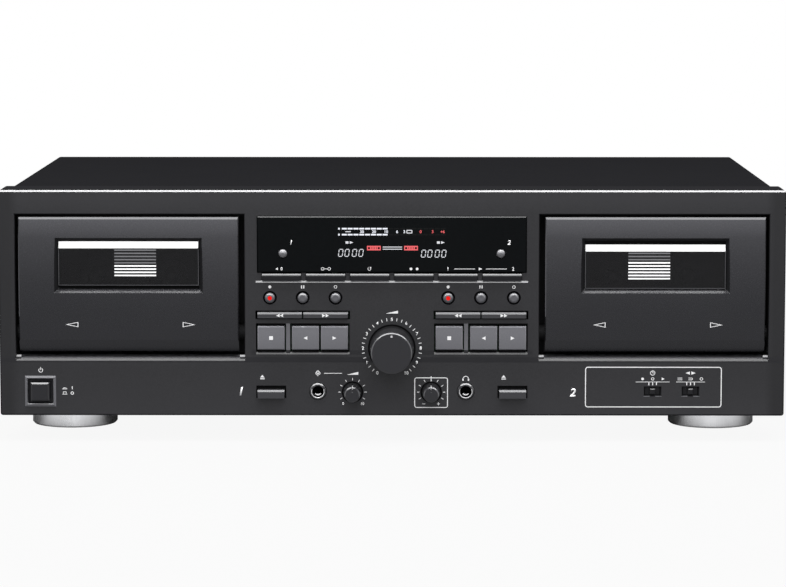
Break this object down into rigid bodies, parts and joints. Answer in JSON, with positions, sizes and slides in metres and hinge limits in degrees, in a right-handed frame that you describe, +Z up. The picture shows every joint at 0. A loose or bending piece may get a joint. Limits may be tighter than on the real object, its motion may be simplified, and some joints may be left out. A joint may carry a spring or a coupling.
{
  "type": "double cassette deck",
  "caption": "Full-width stereo cassette deck with twin front-loading doors that tip open, push keys, level knobs, slide switches and a display window.",
  "frame": {"origin": "middle of the footprint box, on the surface the feet stand on", "axes": "+X to the right of a viewer facing the front, +Y from the front to the back, +Z up"},
  "size_m": [0.435, 0.293, 0.14],
  "materials": {
    "panel_plastic": "fine matte charcoal",
    "cover_paint": "matte black paint",
    "chassis_paint": "matte black paint",
    "foot_silver": "satin silver",
    "screw_steel": "blackened steel",
    "nickel": "nickel plated",
    "rubber": "moulded",
    "display_lens": "smoked acrylic, polished",
    "door_lens": "smoked acrylic, polished",
    "tube_glass": "dark display glass",
    "board": "circuit board",
    "bare_steel": "plain steel",
    "dark_plastic": "matte black",
    "reel_plastic": "satin black",
    "key_plastic": "satin grey"
  },
  "bodies": {
    "case": {"front_panel": "panel_plastic", "top_cover": "cover_paint", "bottom_chassis": "chassis_paint", "rear_panel": "chassis_paint", "feet": "foot_silver", "case_screws": "screw_steel", "line_jacks": "nickel", "cord_gland": "rubber", "display_window": "display_lens", "display_tube": "tube_glass", "control_board": "board", "main_board": "board", "power_transformer": "bare_steel", "jack_sockets": "dark_plastic", "mechanism_frames": "dark_plastic", "tape_drives": "bare_steel"},
    "left_door": {"door_panel_left": "panel_plastic", "door_window_left": "door_lens", "cassette_holder_left": "dark_plastic"},
    "supply_reel_left": {"supply_reel_left": "reel_plastic"},
    "takeup_reel_left": {"takeup_reel_left": "reel_plastic"},
    "head_plate_left": {"head_plate_left": "bare_steel"},
    "right_door": {"door_panel_right": "panel_plastic", "door_window_right": "door_lens", "cassette_holder_right": "dark_plastic"},
    "supply_reel_right": {"supply_reel_right": "reel_plastic"},
    "takeup_reel_right": {"takeup_reel_right": "reel_plastic"},
    "head_plate_right": {"head_plate_right": "bare_steel"},
    "zero_key": {"zero_key": "key_plastic"},
    "sync_key": {"sync_key": "key_plastic"},
    "repeat_key": {"repeat_key": "key_plastic"},
    "dual_record_key": {"dual_record_key": "key_plastic"},
    "copy_normal_key": {"copy_normal_key": "key_plastic"},
    "copy_fast_key": {"copy_fast_key": "key_plastic"},
    "clear_button_left": {"clear_button_left": "key_plastic"},
    "clear_button_right": {"clear_button_right": "key_plastic"},
    "record_button_left": {"record_button_left": "key_plastic"},
    "record_button_right": {"record_button_right": "key_plastic"},
    "pause_button_left": {"pause_button_left": "key_plastic"},
    "pause_button_right": {"pause_button_right": "key_plastic"},
    "mute_button_left": {"mute_button_left": "key_plastic"},
    "mute_button_right": {"mute_button_right": "key_plastic"},
    "rewind_key_left": {"rewind_key_left": "key_plastic"},
    "rewind_key_right": {"rewind_key_right": "key_plastic"},
    "forward_key_left": {"forward_key_left": "key_plastic"},
    "forward_key_right": {"forward_key_right": "key_plastic"},
    "stop_key_left": {"stop_key_left": "key_plastic"},
    "stop_key_right": {"stop_key_right": "key_plastic"},
    "reverse_key_left": {"reverse_key_left": "key_plastic"},
    "reverse_key_right": {"reverse_key_right": "key_plastic"},
    "play_key_left": {"play_key_left": "key_plastic"},
    "play_key_right": {"play_key_right": "key_plastic"},
    "eject_key_left": {"eject_key_left": "key_plastic"},
    "eject_key_right": {"eject_key_right": "key_plastic"},
    "power_button": {"power_button": "key_plastic"},
    "record_level_knob": {"record_level_knob": "panel_plastic"},
    "mic_level_knob": {"mic_level_knob": "panel_plastic"},
    "pitch_knob": {"pitch_knob": "panel_plastic"},
    "timer_switch": {"timer_switch": "dark_plastic"},
    "direction_switch": {"direction_switch": "dark_plastic"}
  },
  "joints": [
    {"name": "left_door_hinge", "type": "hinge", "parent": "case", "child": "left_door", "pos_m": [-0.144, -0.111, 0.0598], "axis": [1, 0, 0], "range_deg": [0, 26]},
    {"name": "supply_reel_left_spin", "type": "hinge", "parent": "case", "child": "supply_reel_left", "pos_m": [-0.16525, -0.1035, 0.0906], "axis": [0, 1, 0], "continuous": true},
    {"name": "takeup_reel_left_spin", "type": "hinge", "parent": "case", "child": "takeup_reel_left", "pos_m": [-0.12275, -0.1035, 0.0906], "axis": [0, 1, 0], "continuous": true},
    {"name": "head_plate_left_lift", "type": "slide", "parent": "case", "child": "head_plate_left", "axis": [0, 0, 1], "range_m": [0, 0.009]},
    {"name": "right_door_hinge", "type": "hinge", "parent": "case", "child": "right_door", "pos_m": [0.144, -0.111, 0.0598], "axis": [1, 0, 0], "range_deg": [0, 26]},
    {"name": "supply_reel_right_spin", "type": "hinge", "parent": "case", "child": "supply_reel_right", "pos_m": [0.12275, -0.1035, 0.0906], "axis": [0, 1, 0], "continuous": true},
    {"name": "takeup_reel_right_spin", "type": "hinge", "parent": "case", "child": "takeup_reel_right", "pos_m": [0.16525, -0.1035, 0.0906], "axis": [0, 1, 0], "continuous": true},
    {"name": "head_plate_right_lift", "type": "slide", "parent": "case", "child": "head_plate_right", "axis": [0, 0, 1], "range_m": [0, 0.009]},
    {"name": "zero_key_push", "type": "slide", "parent": "case", "child": "zero_key", "axis": [0, 1, 0], "range_m": [0, 0.0012], "stiffness_N_per_m": 400},
    {"name": "sync_key_push", "type": "slide", "parent": "case", "child": "sync_key", "axis": [0, 1, 0], "range_m": [0, 0.0012], "stiffness_N_per_m": 400},
    {"name": "repeat_key_push", "type": "slide", "parent": "case", "child": "repeat_key", "axis": [0, 1, 0], "range_m": [0, 0.0012], "stiffness_N_per_m": 400},
    {"name": "dual_record_key_push", "type": "slide", "parent": "case", "child": "dual_record_key", "axis": [0, 1, 0], "range_m": [0, 0.0012], "stiffness_N_per_m": 400},
    {"name": "copy_normal_key_push", "type": "slide", "parent": "case", "child": "copy_normal_key", "axis": [0, 1, 0], "range_m": [0, 0.0012], "stiffness_N_per_m": 400},
    {"name": "copy_fast_key_push", "type": "slide", "parent": "case", "child": "copy_fast_key", "axis": [0, 1, 0], "range_m": [0, 0.0012], "stiffness_N_per_m": 400},
    {"name": "clear_button_left_push", "type": "slide", "parent": "case", "child": "clear_button_left", "axis": [0, 1, 0], "range_m": [0, 0.0012], "stiffness_N_per_m": 400},
    {"name": "clear_button_right_push", "type": "slide", "parent": "case", "child": "clear_button_right", "axis": [0, 1, 0], "range_m": [0, 0.0012], "stiffness_N_per_m": 400},
    {"name": "record_button_left_push", "type": "slide", "parent": "case", "child": "record_button_left", "axis": [0, 1, 0], "range_m": [0, 0.0012], "stiffness_N_per_m": 400},
    {"name": "record_button_right_push", "type": "slide", "parent": "case", "child": "record_button_right", "axis": [0, 1, 0], "range_m": [0, 0.0012], "stiffness_N_per_m": 400},
    {"name": "pause_button_left_push", "type": "slide", "parent": "case", "child": "pause_button_left", "axis": [0, 1, 0], "range_m": [0, 0.0012], "stiffness_N_per_m": 400},
    {"name": "pause_button_right_push", "type": "slide", "parent": "case", "child": "pause_button_right", "axis": [0, 1, 0], "range_m": [0, 0.0012], "stiffness_N_per_m": 400},
    {"name": "mute_button_left_push", "type": "slide", "parent": "case", "child": "mute_button_left", "axis": [0, 1, 0], "range_m": [0, 0.0012], "stiffness_N_per_m": 400},
    {"name": "mute_button_right_push", "type": "slide", "parent": "case", "child": "mute_button_right", "axis": [0, 1, 0], "range_m": [0, 0.0012], "stiffness_N_per_m": 400},
    {"name": "rewind_key_left_push", "type": "slide", "parent": "case", "child": "rewind_key_left", "axis": [0, 1, 0], "range_m": [0, 0.0012], "stiffness_N_per_m": 400},
    {"name": "rewind_key_right_push", "type": "slide", "parent": "case", "child": "rewind_key_right", "axis": [0, 1, 0], "range_m": [0, 0.0012], "stiffness_N_per_m": 400},
    {"name": "forward_key_left_push", "type": "slide", "parent": "case", "child": "forward_key_left", "axis": [0, 1, 0], "range_m": [0, 0.0012], "stiffness_N_per_m": 400},
    {"name": "forward_key_right_push", "type": "slide", "parent": "case", "child": "forward_key_right", "axis": [0, 1, 0], "range_m": [0, 0.0012], "stiffness_N_per_m": 400},
    {"name": "stop_key_left_push", "type": "slide", "parent": "case", "child": "stop_key_left", "axis": [0, 1, 0], "range_m": [0, 0.0012], "stiffness_N_per_m": 400},
    {"name": "stop_key_right_push", "type": "slide", "parent": "case", "child": "stop_key_right", "axis": [0, 1, 0], "range_m": [0, 0.0012], "stiffness_N_per_m": 400},
    {"name": "reverse_key_left_push", "type": "slide", "parent": "case", "child": "reverse_key_left", "axis": [0, 1, 0], "range_m": [0, 0.0012], "stiffness_N_per_m": 400},
    {"name": "reverse_key_right_push", "type": "slide", "parent": "case", "child": "reverse_key_right", "axis": [0, 1, 0], "range_m": [0, 0.0012], "stiffness_N_per_m": 400},
    {"name": "play_key_left_push", "type": "slide", "parent": "case", "child": "play_key_left", "axis": [0, 1, 0], "range_m": [0, 0.0012], "stiffness_N_per_m": 400},
    {"name": "play_key_right_push", "type": "slide", "parent": "case", "child": "play_key_right", "axis": [0, 1, 0], "range_m": [0, 0.0012], "stiffness_N_per_m": 400},
    {"name": "eject_key_left_push", "type": "slide", "parent": "case", "child": "eject_key_left", "axis": [0, 1, 0], "range_m": [0, 0.004], "stiffness_N_per_m": 300},
    {"name": "eject_key_right_push", "type": "slide", "parent": "case", "child": "eject_key_right", "axis": [0, 1, 0], "range_m": [0, 0.004], "stiffness_N_per_m": 300},
    {"name": "power_button_push", "type": "slide", "parent": "case", "child": "power_button", "axis": [0, 1, 0], "range_m": [0, 0.004]},
    {"name": "record_level_knob_turn", "type": "hinge", "parent": "case", "child": "record_level_knob", "pos_m": [0, -0.1235, 0.0524], "axis": [0, 1, 0], "range_deg": [-150, 150]},
    {"name": "mic_level_knob_turn", "type": "hinge", "parent": "case", "child": "mic_level_knob", "pos_m": [-0.0218, -0.1235, 0.0278], "axis": [0, 1, 0], "range_deg": [-150, 150]},
    {"name": "pitch_knob_turn", "type": "hinge", "parent": "case", "child": "pitch_knob", "pos_m": [0.0218, -0.1235, 0.0278], "axis": [0, 1, 0], "range_deg": [-150, 150]},
    {"name": "timer_switch_slide", "type": "slide", "parent": "case", "child": "timer_switch", "axis": [1, 0, 0], "range_m": [-0.0024, 0.0024]},
    {"name": "direction_switch_slide", "type": "slide", "parent": "case", "child": "direction_switch", "axis": [1, 0, 0], "range_m": [-0.0024, 0.0024]}
  ]
}
